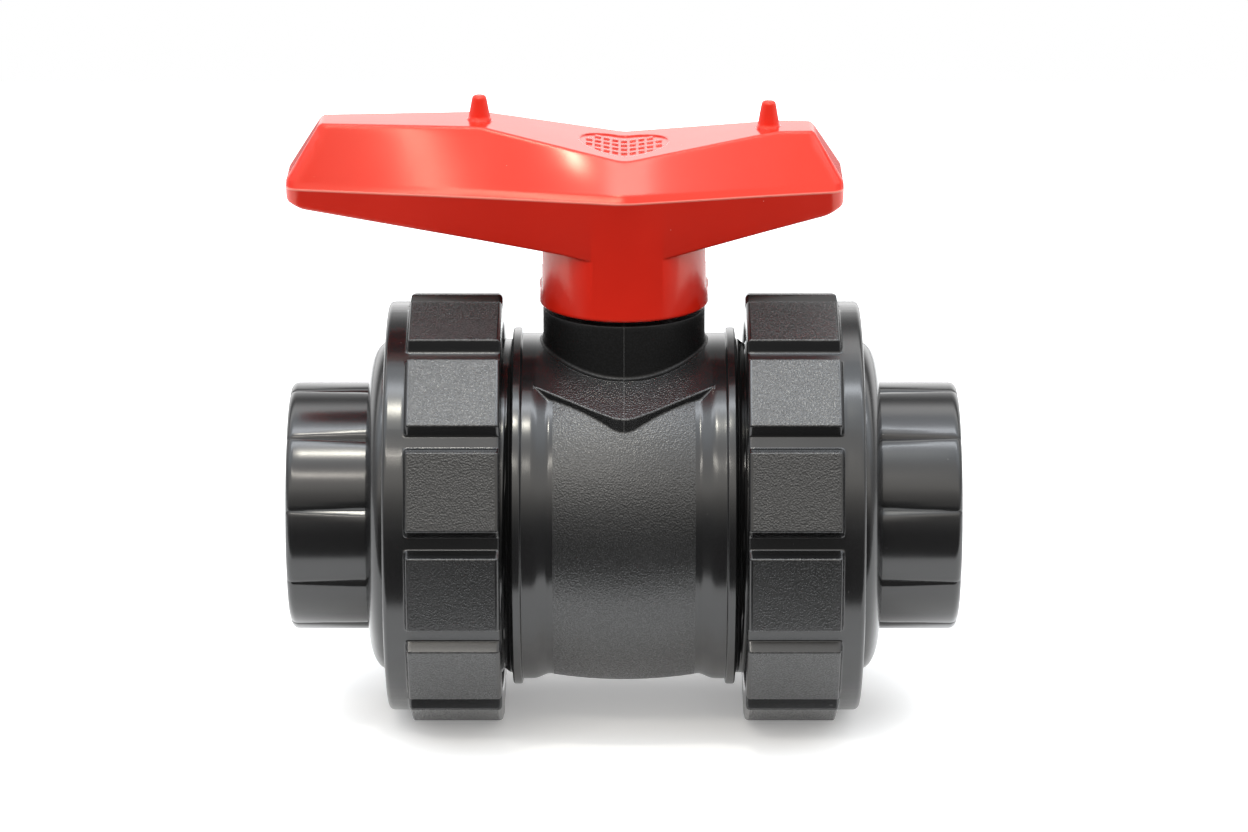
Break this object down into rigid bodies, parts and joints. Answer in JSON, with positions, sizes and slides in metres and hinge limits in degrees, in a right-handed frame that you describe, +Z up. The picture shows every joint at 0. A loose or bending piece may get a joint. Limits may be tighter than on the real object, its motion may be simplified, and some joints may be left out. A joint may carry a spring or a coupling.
{
  "type": "true-union ball valve",
  "caption": "Quarter-turn true-union ball valve in dark grey plastic with a red two-wing handle, ribbed union nuts and plain solvent sockets.",
  "frame": {"origin": "centre of the bounding box's bottom face: on the pipe's vertical mid-plane, under the stem axis, at the bottom ribs of the union nuts", "axes": "+X along the pipe out of the right socket (the side of the short handle wing), +Y to the back, +Z up the stem; the pipe axis is at z = 52.4 mm"},
  "size_m": [0.1642, 0.1064, 0.1569],
  "materials": {
    "body_plastic": "fine grained dark grey PVC",
    "nut_plastic": "dark grey PVC, grained ribs and satin collar",
    "connector_plastic": "satin dark grey PVC",
    "red_plastic": "glossy red moulded plastic",
    "ball_plastic": "polished grey PVC",
    "stem_plastic": "turned dark grey PVC",
    "ptfe": "white PTFE",
    "rubber": "black EPDM rubber"
  },
  "bodies": {
    "root": {"body": "body_plastic", "stem_thrust_washer": "ptfe", "seat_left": "ptfe", "seat_right": "ptfe", "seat_oring_left": "rubber", "seat_oring_right": "rubber", "seat_carrier": "body_plastic", "carrier_oring": "rubber", "face_oring_left": "rubber", "face_oring_right": "rubber"},
    "ball": {"ball": "ball_plastic"},
    "stem": {"stem": "stem_plastic", "stem_oring_lower": "rubber", "stem_oring_upper": "rubber"},
    "handle": {"handle": "red_plastic"},
    "end_left": {"end_connector_left": "connector_plastic"},
    "end_right": {"end_connector_right": "connector_plastic"},
    "nut_left": {"union_nut_left": "nut_plastic"},
    "nut_right": {"union_nut_right": "nut_plastic"}
  },
  "joints": [
    {"name": "stem_turn", "type": "hinge", "parent": "root", "child": "stem", "pos_m": [0, 0, 0.0524], "axis": [0, 0, -1], "range_deg": [0, 90]},
    {"name": "ball_turn", "type": "hinge", "parent": "root", "child": "ball", "pos_m": [0, 0, 0.0524], "axis": [0, 0, -1], "range_deg": [0, 90]},
    {"name": "handle_pull_off", "type": "slide", "parent": "stem", "child": "handle", "axis": [0, 0, 1], "range_m": [0, 0.03]},
    {"name": "left_union_slide", "type": "slide", "parent": "root", "child": "end_left", "axis": [-1, 0, 0], "range_m": [0, 0.0201]},
    {"name": "left_nut_turn", "type": "hinge", "parent": "end_left", "child": "nut_left", "pos_m": [-0.05, 0, 0.0524], "axis": [-1, 0, 0], "range_deg": [0, 1800]},
    {"name": "right_union_slide", "type": "slide", "parent": "root", "child": "end_right", "axis": [1, 0, 0], "range_m": [0, 0.0201]},
    {"name": "right_nut_turn", "type": "hinge", "parent": "end_right", "child": "nut_right", "pos_m": [0.05, 0, 0.0524], "axis": [1, 0, 0], "range_deg": [0, 1800]}
  ],
  "couplings": [
    {"joint": "ball_turn", "follows": "stem_turn", "ratio": 1},
    {"joint": "left_union_slide", "follows": "left_nut_turn", "m_per_rad": 0.00063662},
    {"joint": "right_union_slide", "follows": "right_nut_turn", "m_per_rad": 0.00063662}
  ]
}
